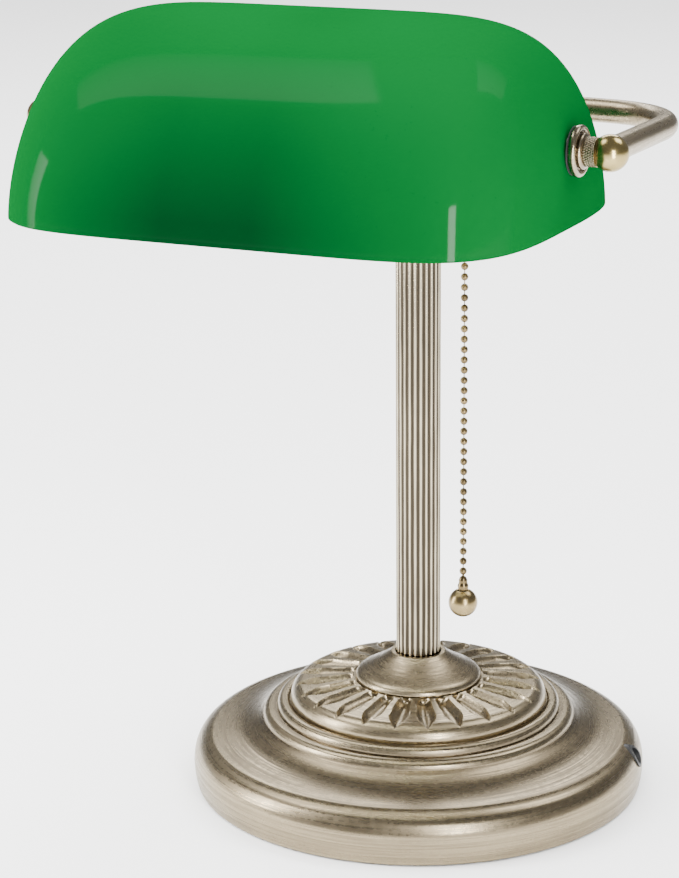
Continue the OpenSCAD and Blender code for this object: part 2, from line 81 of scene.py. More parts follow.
BAND_BULGE = 1.3
BASE_R = radius_of("base_shell") - BAND_BULGE
DECK_Z = dome_low[2]
DOME_R = radius_of("fluted_dome")
CONE_R = radius_of("column_cone")
COLUMN_R = 9.4
REEDS = 24
FLUTES = 24
FLUTE_DIR = -2.7
BEAD_PITCH = 3.9
BEAD_R = 1.4
CHAIN_X = PIVOT[0] + SIDE_PIVOT[0]
BALL_R = (ball_high[2] - ball_low[2]) / 2
SHADE_A = shade_high[0]
SHADE_B = (shade_high[1] - shade_low[1]) / 2
SHADE_Y = (shade_high[1] + shade_low[1]) / 2
SHADE_Z = shade_low[2]
SHADE_H = shade_high[2] - shade_low[2]
BALL_X = ball_high[0] - BALL_R


# ---- Mesh tools ----

def mesh_object(name, verts, faces, smooth=35):
    """A mesh object from points in millimetres, smooth except at edges sharper than smooth."""
    mesh = bpy.data.meshes.new(name)
    mesh.from_pydata([tuple(float(c) * MM for c in v) for v in verts], [], faces)
    mesh.validate()
    mesh.update()
    mesh.polygons.foreach_set("use_smooth", [True] * len(mesh.polygons))
    mesh.set_sharp_from_angle(angle=math.radians(smooth))
    obj = bpy.data.objects.new(name, mesh)
    bpy.context.scene.collection.objects.link(obj)
    return obj


def grid_faces(rows, columns, wrap_rows=False):
    """Quads of a grid of points whose columns close on themselves."""
    faces = []
    for i in range(rows if wrap_rows else rows - 1):
        low, high = i * columns, (i + 1) % rows * columns
        for k in range(columns):
            m = (k + 1) % columns
            faces.append((low + k, low + m, high + m, high + k))
    return faces


def lathe_points(outline, steps):
    """Rings of points: each (radius, height) of the outline goes round the Z axis."""
    angles = np.linspace(0, TAU, steps, endpoint=False)
    return [(r * math.cos(a), r * math.sin(a), z) for r, z in outline for a in angles]


def lathe(name, outline, steps=160, along_x=False, at=(0, 0, 0), smooth=35):
    """A closed solid of revolution. The outline runs round the section of the wall."""
    points = np.array(lathe_points(outline, steps))
    if along_x:
        points = points[:, [2, 0, 1]]
    points = points + np.array(at)
    obj = mesh_object(name, points, grid_faces(len(outline), steps, wrap_rows=True), smooth)
    fix_normals(obj)
    return obj


def fix_normals(obj):
    """Welds points that meet, such as those on an axis, and turns every face outwards."""
    bm = bmesh.new()
    bm.from_mesh(obj.data)
    bmesh.ops.remove_doubles(bm, verts=bm.verts, dist=1e-7)
    bmesh.ops.dissolve_degenerate(bm, dist=1e-7, edges=bm.edges)
    bmesh.ops.recalc_face_normals(bm, faces=bm.faces)
    bm.to_mesh(obj.data)
    bm.free()


def rounded(points, radius, steps=4):
    """A closed outline whose corners are rounded, each as far as its two sides allow."""
    out = []
    count = len(points)
    for i in range(count):
        before, here, after = (np.array(points[j % count], float) for j in (i - 1, i, i + 1))
        a, b = before - here, after - here
        la, lb = np.linalg.norm(a), np.linalg.norm(b)
        if la < 1e-6 or lb < 1e-6 or here[0] < 1e-6:
            out.append(tuple(here))
            continue
        cut = min(radius, 0.45 * la, 0.45 * lb)
        p, q = here + a / la * cut, here + b / lb * cut
        for t in np.linspace(0, 1, steps + 1):
            out.append(tuple((1 - t) ** 2 * p + 2 * t * (1 - t) * here + t * t * q))
    return out


def bend(p, q, r, steps):
    """Points of a curve from p to r with one control point q, p itself left out."""
    p, q, r = (np.array(v, float) for v in (p, q, r))
    return [tuple((1 - t) ** 2 * p + 2 * t * (1 - t) * q + t * t * r)
            for t in np.linspace(0, 1, steps + 1)[1:]]


def cut(obj, cutter):
    """Takes the cutter out of obj and deletes the cutter."""
    boolean = obj.modifiers.new("cut", "BOOLEAN")
    boolean.operation = "DIFFERENCE"
    boolean.solver = "EXACT"
    boolean.object = cutter
    graph = bpy.context.evaluated_depsgraph_get()
    mesh = bpy.data.meshes.new_from_object(obj.evaluated_get(graph))
    obj.modifiers.clear()
    obj.data = mesh
    bpy.data.objects.remove(cutter)


def rod(name, start, end, radius, steps=48):
    """A plain bar used only as a cutter."""
    start, end = Vector(start), Vector(end)
    turn = (end - start).to_track_quat("Z", "Y").to_matrix()
    rings = lathe_points([(1e-4, 0), (radius, 0), (radius, (end - start).length),
                          (1e-4, (end - start).length)], steps)
    points = [turn @ Vector(p) + start for p in rings]
    obj = mesh_object(name, points, grid_faces(4, steps, wrap_rows=True))
    fix_normals(obj)
    return obj


def join_parts(name, parts):
    """One mesh object out of lists of (points, faces)."""
    verts, faces = [], []
    for points, some in parts:
        faces += [tuple(i + len(verts) for i in f) for f in some]
        verts += list(points)
    return mesh_object(name, verts, faces)


# ---- Material tools ----

class Nodes:
    """Short calls for building one material's node tree."""

    def __init__(self, name):
        self.material = bpy.data.materials.new(name)
        self.material.use_nodes = True
        self.tree = self.material.node_tree
        self.tree.nodes.clear()
        self.shader = self.tree.nodes.new("ShaderNodeBsdfPrincipled")
        output = self.tree.nodes.new("ShaderNodeOutputMaterial")
        self.link(self.shader.outputs["BSDF"], output.inputs["Surface"])
        self.coords = self.tree.nodes.new("ShaderNodeTexCoord").outputs["Object"]

    def link(self, source, target):
        self.tree.links.new(source, target)

    def put(self, socket, value):
        if isinstance(value, bpy.types.NodeSocket):
            self.link(value, socket)
        else:
            socket.default_value = value

    def set(self, **values):
        """Constants or links on the shader's sockets; an underscore stands for a space."""
        for key, value in values.items():
            self.put(self.shader.inputs[key.replace("_", " ")], value)

    def math(self, operation, a, b=0.0):
        node = self.tree.nodes.new("ShaderNodeMath")
        node.operation = operation
        self.put(node.inputs[0], a)
        self.put(node.inputs[1], b)
        return node.outputs[0]

    def axes(self, source=None):
        node = self.tree.nodes.new("ShaderNodeSeparateXYZ")
        self.link(source or self.coords, node.inputs[0])
        return node.outputs

    def vector(self, x, y, z):
        node = self.tree.nodes.new("ShaderNodeCombineXYZ")
        for socket, value in zip(node.inputs, (x, y, z)):
            self.put(socket, value)
        return node.outputs[0]

    def noise(self, scale, detail=3.0, vector=None, rough=0.5):
        node = self.tree.nodes.new("ShaderNodeTexNoise")
        self.link(vector or self.coords, node.inputs["Vector"])
        node.inputs["Scale"].default_value = scale
        node.inputs["Detail"].default_value = detail
        node.inputs["Roughness"].default_value = rough
        return node.outputs["Fac"]

    def spread(self, value, low, high, to_low=0.0, to_high=1.0):
        node = self.tree.nodes.new("ShaderNodeMapRange")
        for socket, v in zip(node.inputs, (value, low, high, to_low, to_high)):
            self.put(socket, v)
        return node.outputs[0]

    def mix(self, factor, a, b):
        node = self.tree.nodes.new("ShaderNodeMix")
        node.data_type = "RGBA"
        self.put(node.inputs[0], factor)
        self.put(node.inputs[6], a if isinstance(a, bpy.types.NodeSocket) else (*a, 1))
        self.put(node.inputs[7], b if isinstance(b, bpy.types.NodeSocket) else (*b, 1))
        return node.outputs[2]

    def bump(self, height, strength, distance):
        node = self.tree.nodes.new("ShaderNodeBump")
        node.inputs["Strength"].default_value = strength
        node.inputs["Distance"].default_value = distance
        self.link(height, node.inputs["Height"])
        self.link(node.outputs[0], self.shader.inputs["Normal"])

    def cavity(self):
        """1 in hollows and 0 on edges, from the mesh's own curvature."""
        geometry = self.tree.nodes.new("ShaderNodeNewGeometry")
        return self.spread(geometry.outputs["Pointiness"], 0.49, 0.53, 1.0, 0.0)


# ways that brush lines run
ROUND_Z, ALONG_Z, ALONG_Y, ROUND_X = "round_z", "along_z", "along_y", "round_x"


def brush_vector(n, way):
    """Coordinates in which a noise is drawn out along the brush lines."""
    x, y, z = n.axes()
    if way == ROUND_Z:
        radius = n.math("SQRT", n.math("ADD", n.math("MULTIPLY", x, x), n.math("MULTIPLY", y, y)))
        turn = n.math("ARCTAN2", y, x)
        return n.vector(n.math("MULTIPLY", radius, 1400.0), n.math("MULTIPLY", turn, 1.6),
                        n.math("MULTIPLY", z, 1400.0))
    fine, drawn = 1500.0, 45.0
    scale = {ALONG_Z: (fine, fine, drawn), ALONG_Y: (fine, drawn, fine),
             ROUND_X: (fine, drawn, drawn)}[way]
    return n.vector(*(n.math("MULTIPLY", c, s) for c, s in zip((x, y, z), scale)))


def brushed_brass(name, way, bright, dark, roughness, brush=0.25, patina=0.5, turned=0.0,
                  grooves=0):
    """Antique brass: brush lines, dark patina in hollows and grooves, and slow stains.

    A turned surface throws its highlights across the brush lines, as a disc from a lathe does."""
    n = Nodes(name)
    if turned:
        tangent = n.tree.nodes.new("ShaderNodeTangent")
        tangent.direction_type, tangent.axis = "RADIAL", "Z"
        n.link(tangent.outputs[0], n.shader.inputs["Tangent"])
        n.shader.inputs["Anisotropic"].default_value = turned
    lines = n.noise(1.0, 4.0, brush_vector(n, way), 0.6)
    stains = n.noise(28.0, 4.0)
    fine = n.noise(420.0, 2.0)
    wear = n.math("MULTIPLY", n.spread(stains, 0.3, 0.75), 0.2)
    worn = n.math("ADD", wear, n.math("MULTIPLY", n.cavity(), patina))
    if grooves:
        x, y, _ = n.axes()
        wave = n.math("COSINE", n.math("MULTIPLY", n.math("ARCTAN2", y, x), float(grooves)))
        worn = n.math("ADD", worn, n.spread(wave, 0.35, -0.75, 0.0, 0.75))
    streaked = n.math("ADD", worn, n.spread(lines, 0.35, 0.7, -0.1, 0.28))
    colour = n.mix(n.math("MINIMUM", n.math("MAXIMUM", streaked, 0.0), 1.0), bright, dark)
    gloss = n.math("ADD", n.spread(lines, 0.3, 0.7, roughness - 0.06, roughness + 0.1),
                   n.math("MULTIPLY", n.spread(fine, 0.4, 0.7), 0.05))
    n.set(Base_Color=colour, Metallic=1.0, Roughness=gloss)
    n.bump(lines, brush, 0.00003)
    return n.material


def polished(name, bright, dark, roughness):
    """Lacquered brass with faint cloudy tarnish and hairline scratches."""
    n = Nodes(name)
    clouds = n.noise(90.0, 5.0)
    hair = n.noise(900.0, 2.0)
    colour = n.mix(n.spread(clouds, 0.35, 0.7), bright, dark)
    colour = n.mix(n.math("MULTIPLY", n.cavity(), 0.5), colour, (0.05, 0.04, 0.02))
    n.set(Base_Color=colour, Metallic=1.0, Roughness=n.spread(clouds, 0.3, 0.7, roughness, roughness + 0.1))
    n.bump(hair, 0.08, 0.00002)
    return n.material


def plain(name, bright, dark, roughness, metallic=0.0, scale=300.0, grain=0.3, depth=0.00005):
    """A moulded, plated or cast surface: fine grain, uneven tone and uneven gloss."""
    n = Nodes(name)
    clouds = n.noise(scale / 8, 4.0)
    grains = n.noise(scale, 3.0)
    colour = n.mix(n.spread(n.math("ADD", n.math("MULTIPLY", clouds, 0.7),
                                   n.math("MULTIPLY", grains, 0.3)), 0.35, 0.65), bright, dark)
    n.set(Base_Color=colour, Metallic=metallic,
          Roughness=n.spread(grains, 0.3, 0.7, roughness, min(1.0, roughness + 0.15)))
    n.bump(grains, grain, depth)
    return n.material


def cased_green():
    """Green glass over white: a clear gloss over colour that pools slightly, with faint ripples, and painted
    shade low on the middle of the front.
    """
    n = Nodes("cased_green_glass")
    pools = n.noise(9.0, 2.0)
    seeds = n.noise(700.0, 1.0)
    colour = n.mix(n.spread(pools, 0.3, 0.7), (0.0, 0.062, 0.0105), (0.0, 0.076, 0.0135))
    colour = n.mix(n.math("MULTIPLY", n.spread(seeds, 0.72, 0.8), 0.25), colour, (0.0, 0.035, 0.006))
    n.set(Roughness=n.spread(pools, 0.3, 0.7, 0.06, 0.09), IOR=1.45)
    # Painted shade: the green turns darker towards the rim in the middle of the front face.
    x, y, z = n.axes()
    low = n.spread(z, (SHADE_Z + 70) * MM, (SHADE_Z + 8) * MM)
    middle = n.spread(n.math("ABSOLUTE", n.math("ADD", x, 0.004)), 0.088, 0.018)
    front = n.spread(y, -0.120, -0.160)
    painted_shade = n.math("MULTIPLY", n.math("MULTIPLY", low, middle), n.math("MULTIPLY", front, 0.8))
    n.set(Base_Color=n.mix(painted_shade, colour, (0.0, 0.012, 0.003)))
    weight = n.tree.nodes.new("ShaderNodeLayerWeight")
    weight.inputs["Blend"].default_value = 0.5
    n.set(Specular_IOR_Level=n.spread(weight.outputs["Facing"], 0.12, 0.4, 0.07, 0.0))
    n.bump(n.noise(16.0, 1.0), 0.12, 0.0006)
    return n.material


def opal(name, bright, dark):
    """White opal glass, glossy, a little uneven in tone."""
    n = Nodes(name)
    clouds = n.noise(24.0, 3.0)
    n.set(Base_Color=n.mix(clouds, bright, dark), Roughness=n.spread(clouds, 0.3, 0.7, 0.1, 0.2))
    n.shader.inputs["Subsurface Weight"].default_value = 0.2
    n.shader.inputs["Subsurface Radius"].default_value = (0.003, 0.003, 0.003)
    n.bump(n.noise(60.0, 2.0), 0.05, 0.0002)
    return n.material


BRIGHT, DARK = (0.37, 0.305, 0.195), (0.09, 0.068, 0.045)
BASE_BRASS = brushed_brass("brass_brushed_round", ROUND_Z, BRIGHT, DARK, 0.25, 0.12, turned=0.7)
DOME_BRASS = brushed_brass("brass_brushed_dome", ROUND_Z, BRIGHT, DARK, 0.27, 0.12, patina=0.3,
                           turned=0.4)
COLUMN_BRASS = brushed_brass("brass_brushed_column", ALONG_Z, (0.50, 0.43, 0.30),
                             (0.035, 0.028, 0.02), 0.1, 0.15, 0.6, grooves=REEDS)
YOKE_BRASS = brushed_brass("brass_brushed_yoke", ALONG_Y, (0.37, 0.30, 0.19), DARK, 0.27, 0.12, 0.2)
COLLAR_BRASS = brushed_brass("brass_brushed_collar", ROUND_X, (0.50, 0.42, 0.29), DARK, 0.2, 0.15, 0.8)
BALL_BRASS = polished("brass_polished", (0.56, 0.44, 0.19), (0.38, 0.29, 0.11), 0.19)
CHAIN_BRASS = polished("brass_chain", (0.16, 0.115, 0.055), (0.07, 0.05, 0.025), 0.26)
PULL_BRASS = polished("brass_pull", (0.36, 0.27, 0.13), (0.20, 0.145, 0.065), 0.24)
SOCKET_BRASS = polished("brass_socket", (0.68, 0.55, 0.27), (0.50, 0.40, 0.18), 0.18)
GREEN = cased_green()
WHITE_CASE = opal("white_casing", (0.86, 0.88, 0.83), (0.80, 0.83, 0.77))
BULB_WHITE = opal("bulb_opal", (0.88, 0.87, 0.82), (0.82, 0.80, 0.74))
STEEL = plain("zinc_plated_steel", (0.56, 0.56, 0.53), (0.38, 0.38, 0.35), 0.28, 1.0)
ALUMINIUM = plain("rolled_aluminium", (0.72, 0.72, 0.71), (0.58, 0.58, 0.56), 0.3, 1.0)
SOLDER = plain("solder", (0.52, 0.52, 0.50), (0.36, 0.36, 0.34), 0.45, 1.0, 180.0)
CAST = plain("cast_iron", (0.075, 0.075, 0.075), (0.035, 0.035, 0.035), 0.62, 0.4, 260.0, 0.7, 0.0002)
BLACK = plain("black_plastic", (0.022, 0.022, 0.022), (0.012, 0.012, 0.012), 0.38)
WHITE = plain("nylon", (0.74, 0.72, 0.64), (0.66, 0.64, 0.56), 0.42)
RUBBER = plain("rubber", (0.02, 0.02, 0.02), (0.011, 0.011, 0.011), 0.68, 0.0, 420.0)
FIBRE = plain("pressed_fibre", (0.50, 0.38, 0.20), (0.36, 0.26, 0.13), 0.72, 0.0, 520.0, 0.5)
FELT = plain("felt", (0.022, 0.024, 0.022), (0.008, 0.009, 0.008), 0.92, 0.0, 900.0, 1.0, 0.0003)
BOARD = plain("cover_board", (0.05, 0.045, 0.04), (0.028, 0.025, 0.022), 0.75, 0.0, 240.0)


def place(obj, body, material, slot, *replaced):
    """Gives a new piece its material and its body, and hides the CAD nodes that it stands for; the slot
    argument is not used.
    """
    obj.data.materials.clear()
    obj.data.materials.append(material)
    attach(obj, body)
    if replaced:
        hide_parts(*replaced)
    return obj


# ---- Base ----

SHELL_WALL = 1.2
WALL_TOP_Z = 12


def base_outline():
    """The outer line of the pressed shell, from the table up to the dome, then back inside."""
    foot = (BASE_R, base_low[2])
    band = (BASE_R + BAND_BULGE, 10)
    crease = (BASE_R - 7, 21.8)
    cove_end = (BASE_R - 28.4, 29.1)
    step = (BASE_R - 34.6, 32.6)
    top = (DOME_R + 1.2, DECK_Z + 0.9)
    hem = [(BASE_R - 1.5, base_low[2] + 0.4), (BASE_R - 0.6, base_low[2])]
    line = hem + [foot]
    line += bend(foot, (BASE_R + 1.2, 4), band, 8)
    line += bend(band, (BASE_R + 0.9, 19.5), crease, 16)
    line += [(crease[0] - 0.35, crease[1] + 0.05)]
    line += bend((crease[0] - 0.35, crease[1] + 0.05), (BASE_R - 22, 23.6), cove_end, 18)
    line += bend(cove_end, (BASE_R - 28.9, 33.2), step, 12)
    line += bend(step, (BASE_R - 35, 36.8), top, 12)
    line += [(DOME_R + 0.5, DECK_Z + 0.2), (DOME_R - 4, DECK_Z - 0.1)]
    inside = [(r - SHELL_WALL, z - (SHELL_WALL if z > WALL_TOP_Z else 0)) for r, z in line]
    return line + inside[::-1][:-3]


base = lathe("base_shell_finish", base_outline(), 288)
cord_low, cord_high = box_mm("cord_bushing")
cord_middle = (cord_low + cord_high) / 2
cord_way = Vector((cord_middle[0], cord_middle[1], 0)).normalized()
CORD_HOLE_R, CUT_START_R, CUT_LENGTH = 4.7, 80, 30
cord_start = Vector((0, 0, cord_middle[2])) + cord_way * CUT_START_R
cut(base, rod("cord_hole_cutter", cord_start, cord_start + cord_way * CUT_LENGTH, CORD_HOLE_R))
base.data.set_sharp_from_angle(angle=math.radians(40))
place(base, "stand", BASE_BRASS, "antique_brass", "base_shell")

# The dome: a slope with a round rim, and leaf-shaped flutes pressed into it
DOME_SEAT_R = 28.0
DOME_SLOPE = math.radians(6.7)
RIM_R = 6.5
RIM_X = DOME_R - RIM_R
RIM_Z = DECK_Z + 1.4
LEAF_START, LEAF_END = 27.6, 52.6
LEAF_DEPTH = 2.6


def dome_line(steps):
    """Points and outward normals of the dome's profile, from the deck up to the seat."""
    rows = []
    for z in np.linspace(DECK_Z, RIM_Z, 4):
        rows.append(((DOME_R, z), (1.0, 0.0)))
    top = math.pi / 2 - DOME_SLOPE
    for a in np.linspace(0, top, 22)[1:]:
        c, s = math.cos(a), math.sin(a)
        rows.append(((RIM_X + RIM_R * c, RIM_Z + RIM_R * s), (c, s)))
    (r0, z0), normal = rows[-1]
    for r in np.linspace(r0, DOME_SEAT_R, steps)[1:]:
        rows.append(((r, z0 + (r0 - r) * math.tan(DOME_SLOPE)), normal))
    return rows


def leaf_depth(radius, angle):
    """Depth of the flutes at a place on the dome: a leaf, round inside and pointed outside."""
    if not LEAF_START < radius < LEAF_END:
        return 0.0
    pitch = TAU / FLUTES
    off = (angle - math.radians(FLUTE_DIR) + pitch / 2) % pitch - pitch / 2
    across = off * radius
    along = (radius - LEAF_START) / (LEAF_END - LEAF_START)
    inner = math.sqrt(max(0.0, 1 - (1 - min(1.0, along / 0.12)) ** 2))
    outer = 1.0 if along < 0.62 else max(0.0, 1 - ((along - 0.62) / 0.38) ** 1.6)
    half = (2.75 + 1.15 * min(along / 0.62, 1.0)) * inner * outer
    if half < 0.05 or abs(across) >= half:
        return 0.0
    bowl = 1 - (across / half) ** 2
    fall = min(1.0, half / 2.2)
    return LEAF_DEPTH * fall * bowl ** 0.8


def make_dome():
    steps = FLUTES * 32
    rows = dome_line(64)
    angles = np.linspace(0, TAU, steps, endpoint=False)
    points = []
    for (r, z), (nr, nz) in rows:
        for a in angles:
            d = leaf_depth(r, a)
            rr, zz = r - d * nr, z - d * nz
            points.append((rr * math.cos(a), rr * math.sin(a), zz))
    seat_z = cone_low[2] - 0.05
    wall = [(DOME_SEAT_R, seat_z), (8, seat_z), (8, seat_z - 2.4), (DOME_SEAT_R, seat_z - 2.6),
            (47.6, 39.2), (DOME_R - 2.4, RIM_Z), (DOME_R - 2.4, DECK_Z)]
    points += lathe_points(wall, steps)
    faces = grid_faces(len(rows) + len(wall), steps, wrap_rows=True)
    obj = mesh_object("fluted_dome_finish", points, faces, 50)
    fix_normals(obj)
    return obj


place(make_dome(), "stand", DOME_BRASS, "antique_brass", "fluted_dome")

# The cone at the column's foot, with a rolled bead round its own foot
CONE_RISE = 11.8
top_z = cone_high[2]
foot_z = top_z - CONE_RISE
slope = (CONE_R - 2.6, foot_z + 3.8)
cone_line = [(CONE_R - 0.3, foot_z), (CONE_R, foot_z + 0.4)]
cone_line += bend((CONE_R, foot_z + 0.4), (CONE_R + 0.1, foot_z + 2.4), slope, 8)
cone_line += bend(slope, (15, top_z - 3.4), (11.6, top_z - 0.2), 12)
cone_line += bend((11.6, top_z - 0.2), (11.4, top_z), (11.1, top_z), 3)
cone_line += [(COLUMN_R + 0.5, top_z), (COLUMN_R + 0.3, top_z - 0.3), (COLUMN_R + 0.3, top_z - 2.2),
              (5.2, top_z - 2.4), (5.2, foot_z + 4), (18, foot_z + 3), (22, foot_z)]
place(lathe("column_cone_finish", cone_line, 192), "stand", BASE_BRASS, "antique_brass", "column_cone")


# ---- Column and yoke ----

def make_column():
    """A tube with shallow round flutes that end just short of its two ends."""
    per_reed = 14
    steps = REEDS * per_reed
    phase = np.arange(steps) % per_reed / per_reed - 0.5
    groove = 0.5 * np.clip(1 - (phase / 0.43) ** 2, 0, None)
    angles = np.arange(steps) * TAU / steps
    low, high = column_low[2], column_high[2]
    rows = [(low, 0.0, 0.3), (low + 0.3, 1.0, 0.0)]
    rows += [(z, 1.0, 0.0) for z in np.linspace(low + 2, high - 2, 24)]
    rows += [(high - 0.3, 1.0, 0.0), (high, 0.0, 0.3)]
    points = []
    for z, depth, chamfer in rows:
        r = COLUMN_R - groove * depth - chamfer
        points += list(zip(r * np.cos(angles), r * np.sin(angles), np.full(steps, z)))
    points += lathe_points([(7.6, high), (7.6, low)], steps)
    obj = mesh_object("column_tube_finish", points, grid_faces(len(rows) + 2, steps, wrap_rows=True), 60)
    fix_normals(obj)
    return obj


place(make_column(), "stand", COLUMN_BRASS, "antique_brass", "column_tube")

collar_low, collar_high = box_mm("column_collar")
collar_r = radius_of("column_collar")
collar = rounded([(5.2, column_high[2]), (COLUMN_R + 0.2, column_high[2]), (COLUMN_R + 0.2, collar_low[2]),
                  (collar_r - 0.7, collar_low[2]), (collar_r, collar_low[2] + 1.5),
                  (collar_r, collar_high[2] - 1.2), (collar_r - 0.9, collar_high[2]),
                  (5.2, collar_high[2])], 0.6)
place(lathe("column_collar_finish", collar), "stand", BASE_BRASS, "antique_brass", "column_collar")

hub_top = box_mm("yoke_hub")[1][2]
finial_high = box_mm("hub_finial")[1]
knob_z = finial_high[2] - 5
finial = [(0, hub_top), (6.4, hub_top), (7, hub_top + 0.5), (7, hub_top + 1.1), (6.5, hub_top + 1.6),
          (4.7, hub_top + 1.7), (3.9, hub_top + 2.2), (3.3, hub_top + 3.0), (3.2, hub_top + 3.6)]
finial += [(5 * math.cos(a), knob_z + 5 * math.sin(a)) for a in np.linspace(-0.83, math.pi / 2, 24)]
place(lathe("hub_finial_finish", finial, 96), "stand", BALL_BRASS, "polished_brass", "hub_finial")

YOKE_R = 4.7
YOKE_BORE = 3.75
BOW_R, BOW_Y, BEND_R, ARM_X = 559.0, 6.5, 36.0, yoke_high[0] - YOKE_R
ARM_END_Y = yoke_low[1]
YOKE_Z = PIVOT[2] - 1.1


def yoke_path():
    """Middle line of the yoke: the bow, and at each end a corner bend and a straight arm."""
    corner = math.asin((ARM_X - BEND_R) / (BOW_R - BEND_R))
    corner_y = (BOW_R - BEND_R) * math.cos(corner) + BOW_Y - BOW_R
    half = [(BOW_R * math.sin(a), BOW_R * math.cos(a) + BOW_Y - BOW_R) for a in np.linspace(0, corner, 24)]
    half += [(ARM_X - BEND_R + BEND_R * math.sin(a), corner_y + BEND_R * math.cos(a))
             for a in np.linspace(corner, math.pi / 2, 36)[1:]]
    half += [(ARM_X, y) for y in np.linspace(corner_y, ARM_END_Y, 10)[1:]]
    flat = [(-x, y) for x, y in half[:0:-1]] + half
    tilt = math.atan(1.1 / -PIVOT[1])
    return [(x, y * math.cos(tilt), YOKE_Z - y * math.sin(tilt)) for x, y in flat]


def make_yoke():
    path = np.array(yoke_path())
    steps = 48
    points = []
    tangents = np.gradient(path, axis=0)
    tangents /= np.linalg.norm(tangents, axis=1)[:, None]
    rows = [(path[0], tangents[0], YOKE_R - 0.3)]
    rows += [(p, t, YOKE_R) for p, t in zip(path, tangents)]
    rows += [(path[-1], tangents[-1], YOKE_R - 0.3)]
    rows += [(p, t, YOKE_BORE) for p, t in zip(path[::-1], tangents[::-1])]
    up = np.array([0, 0, 1.0])
    for p, t, r in rows:
        side = np.cross(t, up)
        side /= np.linalg.norm(side)
        over = np.cross(side, t)
        for a in np.linspace(0, TAU, steps, endpoint=False):
            points.append(p + r * (math.cos(a) * side + math.sin(a) * over))
    obj = mesh_object("yoke_tube_finish", points, grid_faces(len(rows), steps, wrap_rows=True))
    fix_normals(obj)
    return obj


place(make_yoke(), "stand", YOKE_BRASS, "antique_brass", "yoke_tube")


# ---- Pivots ----

NECK_R, COLLAR_R, PIN_R = 5.3, 6.5, 3.9


def mirrored(points, side):
    points = np.array(points, float)
    points[:, 0] *= side
    return points


def make_ball(name, side):
    """A ball that flows into the end of the yoke's arm."""
    steps, rows = 96, 64
    centre = np.array([BALL_X, PIVOT[1], PIVOT[2]])
    arm = np.array([ARM_X, ARM_END_Y, PIVOT[2]])
    points = []
    for i in range(rows + 1):
        polar = math.pi * i / rows
        for a in np.linspace(0, TAU, steps, endpoint=False):
            d = np.array([math.sin(polar) * math.cos(a), -math.cos(polar), math.sin(polar) * math.sin(a)])
            p = centre + BALL_R * d
            if polar > math.pi / 2:
                swell = ((polar - math.pi / 2) / (math.pi / 2)) ** 2
                around = np.array([math.cos(a), 0, math.sin(a)])
                ring = arm + (YOKE_R + 0.25) * around * min(1.0, math.sin(polar) * 1.6)
                p = p * (1 - swell * 0.55) + ring * (swell * 0.55)
            points.append(p)
    obj = mesh_object(name, mirrored(points, side), grid_faces(rows + 1, steps))
    fix_normals(obj)
    return obj


def make_neck(name, side):
    """Stepped ring and a neck with crossed knurling, between the cup washer and the ball."""
    x0, x1 = box_mm("neck_right")[0][0], ball_low[0] + 2.6
    steps = 144
    line = rounded([(PIN_R, x0), (COLLAR_R - 0.4, x0), (COLLAR_R, x0 + 0.6), (COLLAR_R, x0 + 1.4),
                    (COLLAR_R - 0.5, x0 + 1.9), (NECK_R, x0 + 2.1)], 0.3)
    knurl = np.linspace(x0 + 2.2, x1, 24)
    points = [(x, r * math.cos(a), r * math.sin(a)) for r, x in line[5:] for a in
              np.linspace(0, TAU, steps, endpoint=False)]
    for x in knurl:
        for a in np.linspace(0, TAU, steps, endpoint=False):
            one = math.sin(36 * a + x * 3.6)
            two = math.sin(36 * a - x * 3.6)
            r = NECK_R + 0.13 * max(one, two) - 0.1
            points.append((x, r * math.cos(a), r * math.sin(a)))
    for r, x in ((PIN_R, x1), (PIN_R, x0)):
        points += [(x, r * math.cos(a), r * math.sin(a)) for a in np.linspace(0, TAU, steps, endpoint=False)]
    points = np.array(points) + np.array([0, PIVOT[1], PIVOT[2]])
    rows = len(points) // steps
    obj = mesh_object(name, mirrored(points, side), grid_faces(rows, steps, wrap_rows=True))
    fix_normals(obj)
    return obj


def make_cup(name, side):
    """Cup washer: a rounded rim round a dark groove."""
    low, high = box_mm("cup_washer_right")
    x, r = low[0], (high[2] - low[2]) / 2
    line = rounded([(PIN_R + 0.05, x), (r - 0.7, x), (r, x + 0.7), (r, x + 2.2), (r - 0.6, x + 2.9),
                    (r - 1.5, x + 2.9), (r - 2.1, x + 1.6), (COLLAR_R + 0.3, x + 1.5),
                    (COLLAR_R - 0.1, x + 2.1), (PIN_R + 0.05, x + 2.2)], 0.35)
    points = np.array(lathe_points(line, 144))[:, [2, 0, 1]] + np.array([0, PIVOT[1], PIVOT[2]])
    obj = mesh_object(name, mirrored(points, side), grid_faces(len(line), 144, wrap_rows=True))
    fix_normals(obj)
    return obj


for side, hand in ((1, "right"), (-1, "left")):
    place(make_ball(f"ball_{hand}_finish", side), "stand", BALL_BRASS, "polished_brass", f"ball_{hand}")
    place(make_neck(f"neck_{hand}_finish", side), "stand", COLLAR_BRASS, "antique_brass", f"neck_{hand}")
    place(make_cup(f"cup_washer_{hand}_finish", side), "stand", COLLAR_BRASS, "antique_brass",
          f"cup_washer_{hand}")


# ---- Shade ----

GLASS_T = 4.0
RIM_ROUND, RIM_LIFT = 0.9, 0.7
PIVOT_HOLE_R = 5.65
END_POWER, ARCH_Y, ARCH_Z, CORNER = 6.0, 2.1, 1.66, 1.73


def shade_point(inset, turn, climb):
    """A point of the shade: turn goes round the plan and climb goes from the rim to the crown."""
    a, b, h = SHADE_A - inset, SHADE_B - inset, SHADE_H - inset
    rise = math.sin(climb) ** 2
    at_rise = rise ** CORNER
    arch = (at_rise + (1 - at_rise) * math.sin(turn) ** 2) ** (1 / CORNER)
    x = a * abs(math.cos(turn)) ** (2 / END_POWER) * (1 - at_rise) ** (1 / END_POWER)
    y = b * max(arch - rise, 0.0) ** (1 / ARCH_Y)
    return (math.copysign(x, math.cos(turn)), SHADE_Y + math.copysign(y, math.sin(turn)),
            SHADE_Z + h * rise ** (1 / ARCH_Z))


